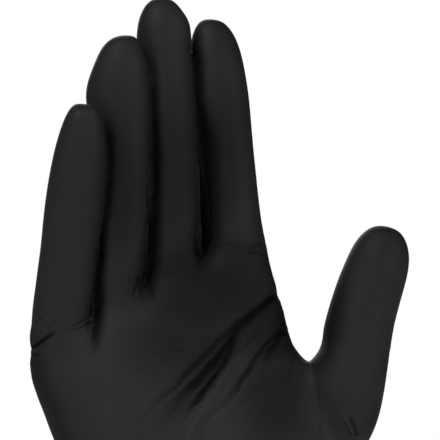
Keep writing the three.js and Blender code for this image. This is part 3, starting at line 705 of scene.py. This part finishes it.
# the attributes that the material paints shade with
hollow_layer = film.verts.layers.float.new("hollow")
painted_shade_layer = film.verts.layers.float.new("painted_shade")
for vert, height, painted_shade in zip(film.verts, fold_field, painted_shade_field):
    # the deeper in a fold, the darker its colour is painted, as painted shade
    vert[hollow_layer] = min(max(-height / DEEP, 0), 1)
    vert[painted_shade_layer] = painted_shade
film.normal_update()
ends = moves.min(), moves.max()
print("film moved by", [round(end / MM, 2) for end in ends], "mm")

# %% [markdown]
# The deepest folds reach further in than the wall is thick. So each vertex of the inner wall is
# moved inwards by as much as the film has sunk anywhere near it.

# %% Keep the inner wall clear of the folds
FOLD_NEAR = 3.5 * MM
FOLD_CLEARANCE = 1.1

sunk = {i: -move for i, move in enumerate(moves) if move < 0}
sunk_tree = KDTree(len(sunk))
for i in sunk:
    sunk_tree.insert(places[i], i)
sunk_tree.balance()
inner_wall.normal_update()
pushed = 0
for vert in inner_wall.verts:
    depth = max((sunk[i] for _, i, _ in sunk_tree.find_range(vert.co, FOLD_NEAR)), default=0)
    if depth > 0 and not vert.is_boundary:
        vert.co += vert.normal * depth * FOLD_CLEARANCE
        pushed += 1
print(pushed, "vertices of the inner wall moved inwards")

# %% [markdown]
# ## Sewing the inner wall on
#
# The inner wall's border has half as many vertices as the outer wall's. Its edges are cut in
# two, each of its vertices is laid on the nearest one of the outer border, and both are merged.

# %% One closed mesh
def border(bm):
    return [edge for edge in bm.edges if edge.is_boundary]


bmesh.ops.subdivide_edges(inner_wall, edges=border(inner_wall), cuts=1)
outer_rim = {vert for edge in border(film) for vert in edge.verts}
inner_rim = {vert for edge in border(inner_wall) for vert in edge.verts}
for vert in inner_rim:
    nearest = min(outer_rim, key=lambda other: (other.co - vert.co).length)
    vert.co = nearest.co
glove_mesh = bpy.data.meshes.new("glove_film")
inner_mesh = bpy.data.meshes.new("inner_wall")
inner_wall.to_mesh(inner_mesh)
film.from_mesh(inner_mesh)
both_rims = [vert for vert in film.verts if vert.is_boundary]
bmesh.ops.remove_doubles(film, verts=both_rims, dist=MERGE_DISTANCE)
film.normal_update()
for face in film.faces:
    face.smooth = True
open_edges = sum(not edge.is_manifold for edge in film.edges)
triangles = sum(len(face.verts) - 2 for face in film.faces)
film.to_mesh(glove_mesh)
bpy.data.meshes.remove(inner_mesh)
glove = bpy.data.objects.new("glove_film", glove_mesh)
bpy.context.scene.collection.objects.link(glove)
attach(glove, "root")
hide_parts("glove")
print("inner border", len(inner_rim), "outer border", len(outer_rim))
print(triangles, "triangles,", open_edges, "open edges")
for bm in (shell, inner_wall, outer_wall, film):
    bm.free()

# %% [markdown]
# ## Satin black
#
# Shader maths is written as plain arithmetic, with a small class that stands for a socket. A
# second class stands for a node tree, and makes every node in the same way: its type, its
# settings, and then the values or links of its sockets.

# %% A socket that does arithmetic
# a Mix node has several sockets of each name, and these are the ones for colours
COLOUR_A, COLOUR_B, COLOUR_RESULT = 6, 7, 2


class Socket:
    """A node's output that can be added and multiplied."""

    def __init__(self, shader, output):
        self.shader, self.output = shader, output

    def maths(self, operation, other):
        return self.shader.node("ShaderNodeMath", {"operation": operation}, [self, other])

    def __add__(self, other):
        return self.maths("ADD", other)

    def __mul__(self, other):
        return self.maths("MULTIPLY", other)

    __radd__, __rmul__ = __add__, __mul__


class Shader:
    """A node tree, and the one way in which its nodes are made."""

    def __init__(self, owner, last_node):
        owner.use_nodes = True
        self.tree = owner.node_tree
        self.last = self.tree.nodes[last_node]

    def connect(self, value, socket):
        if isinstance(value, Socket):
            self.tree.links.new(value.output, socket)
        else:
            socket.default_value = value

    def node(self, kind, settings=None, inputs=(), output=0):
        made = self.tree.nodes.new(kind)
        for name, setting in (settings or {}).items():
            setattr(made, name, setting)
        named = inputs.items() if isinstance(inputs, dict) else enumerate(inputs)
        for name, value in named:
            self.connect(value, made.inputs[name])
        return Socket(self, made.outputs[output])

    def mix(self, factor, a, b):
        """The colour a where factor is 0, and b where it is 1."""
        sockets = {"Factor": factor, COLOUR_A: a, COLOUR_B: b}
        return self.node("ShaderNodeMix", {"data_type": "RGBA"}, sockets, COLOUR_RESULT)

    def put(self, **inputs):
        """Sets or links sockets of the last node, which the others lead to."""
        for name, value in inputs.items():
            self.connect(value, self.last.inputs[name.replace("_", " ")])


# %% [markdown]
# The dried film is black right through. Its surface is satin, a little rougher in the folds,
# where it is gathered, and where shade is painted, and has a grain of tiny wrinkles and pores.
# A hollow catches no light, so its colour is painted darker, towards the deepest black, as
# painted shade; the shade ovals darken the colour as painted shade too.

# %% The nitrile
FILM_BLACK = (0.026, 0.026, 0.0262, 1)
# painted shade: the colour where the painted-shade ovals are full
PAINTED_SHADE_BLACK = (0.004, 0.004, 0.0041, 1)
# painted shade: the colour at the bottom of the folds and in the gaps between the fingers
HOLLOW_PAINTED_SHADE = (0.003, 0.003, 0.003, 1)
LINES_DRAWN_OUT = (0.2, 0.2, 1)
GRAIN_DEPTH = 0.2 * MM

nitrile_material = bpy.data.materials.new("nitrile")
nitrile = Shader(nitrile_material, "Principled BSDF")
where = nitrile.node("ShaderNodeTexCoord", output="Object")
# how deep in a fold, which darkens the colour as painted shade and adds roughness
hollow = nitrile.node("ShaderNodeAttribute", {"attribute_name": "hollow"}, output="Fac")
# painted shade: how much darker the colour is painted, from the ovals
painted_shade = nitrile.node("ShaderNodeAttribute", {"attribute_name": "painted_shade"}, output="Fac")


def noise_at(place, scale, detail):
    """Noise between 0 and 1, with about that many bumps to the metre."""
    return nitrile.node("ShaderNodeTexNoise", inputs={
        "Vector": place, "Scale": scale, "Detail": detail,
    })


cloud = noise_at(where, scale=40, detail=2)
grain = noise_at(where, scale=700, detail=4)
pores = noise_at(where, scale=2600, detail=2)
drawn_out = nitrile.node(
    "ShaderNodeVectorMath", {"operation": "MULTIPLY"}, [where, LINES_DRAWN_OUT],
)
lines = noise_at(drawn_out, scale=900, detail=3)
relief = grain * 0.6 + pores * 0.3 + lines * 0.65
# painted shade: the film's colour, darkened in the shade ovals and then in the fold hollows
shade = nitrile.mix(painted_shade, FILM_BLACK, PAINTED_SHADE_BLACK)
nitrile.put(
    Base_Color=nitrile.mix(hollow, shade, HOLLOW_PAINTED_SHADE),
    Roughness=0.55 + cloud * 0.1 + hollow * 0.35 + painted_shade * 0.08,
    Specular_IOR_Level=0.3,
    Normal=nitrile.node("ShaderNodeBump", inputs={
        "Strength": 0.8, "Distance": GRAIN_DEPTH, "Height": relief,
    }, output="Normal"),
)
glove_mesh.materials.append(nitrile_material)
print(len(nitrile.tree.nodes), "nodes")

# %% [markdown]
# ## The studio
#
# The glove is photographed before white, and the floor is below the picture. Black rubber shows
# its form only by its sheen, so the lights are large and soft: a strong one from the front, left
# and above, a weaker one from the right, and one behind for the back and the floor.

# %% The floor
FLOOR_RADIUS = 0.7
FLOOR_SIDES = 96
FLOOR_WHITE = (0.8, 0.8, 0.8, 1)
FLOOR_ROUGHNESS = 0.8

floor_mesh = bpy.data.meshes.new("floor")
disc = bmesh.new()
bmesh.ops.create_circle(disc, cap_ends=True, segments=FLOOR_SIDES, radius=FLOOR_RADIUS)
disc.to_mesh(floor_mesh)
disc.free()
floor = bpy.data.objects.new("floor", floor_mesh)
bpy.context.scene.collection.objects.link(floor)
floor_material = bpy.data.materials.new("white_floor")
Shader(floor_material, "Principled BSDF").put(Base_Color=FLOOR_WHITE, Roughness=FLOOR_ROUGHNESS)
floor_mesh.materials.append(floor_material)
print("floor", 2 * FLOOR_RADIUS, "m across")

# %% [markdown]
# The surroundings are white where the camera sees them, but give only a faint light, because full
# white all round would turn black rubber grey. Light Path tells the camera's rays from the others.

# %% White surroundings
SURROUNDINGS_WHITE = (1, 1, 1, 1)
SEEN_STRENGTH = 1
LIGHTING_STRENGTH = 0.05

world = bpy.data.worlds.new("white")
bpy.context.scene.world = world
surroundings = Shader(world, "World Output")
surroundings.tree.nodes.remove(surroundings.tree.nodes["Background"])
lighting, seen = [
    surroundings.node("ShaderNodeBackground", inputs=[SURROUNDINGS_WHITE, strength])
    for strength in (LIGHTING_STRENGTH, SEEN_STRENGTH)
]
by_camera = surroundings.node("ShaderNodeLightPath", output="Is Camera Ray")
surroundings.put(
    Surface=surroundings.node("ShaderNodeMixShader", inputs=[by_camera, lighting, seen]),
)
print(len(surroundings.tree.nodes), "nodes")

# %% Lights
LIGHTS = [
    # name, place, size and power of a square soft light that faces the glove
    ("key", (-0.8, -1.3, 1.25), 0.9, 13.9),
    ("right", (1.2, -1.0, 0.6), 0.9, 6.1),
    ("back", (-0.4, 1.5, 0.9), 1.2, 12),
]
for name, place, size, power in LIGHTS:
    lamp = bpy.data.lights.new(name, "AREA")
    lamp.size, lamp.energy = size, power
    light = bpy.data.objects.new(name, lamp)
    light.location = place
    light.rotation_euler = (VIEW_MIDDLE - Vector(place)).to_track_quat("-Z", "Y").to_euler()
    bpy.context.scene.collection.objects.link(light)
bpy.context.scene.view_settings.view_transform = "Standard"
print(len(LIGHTS), "lights")
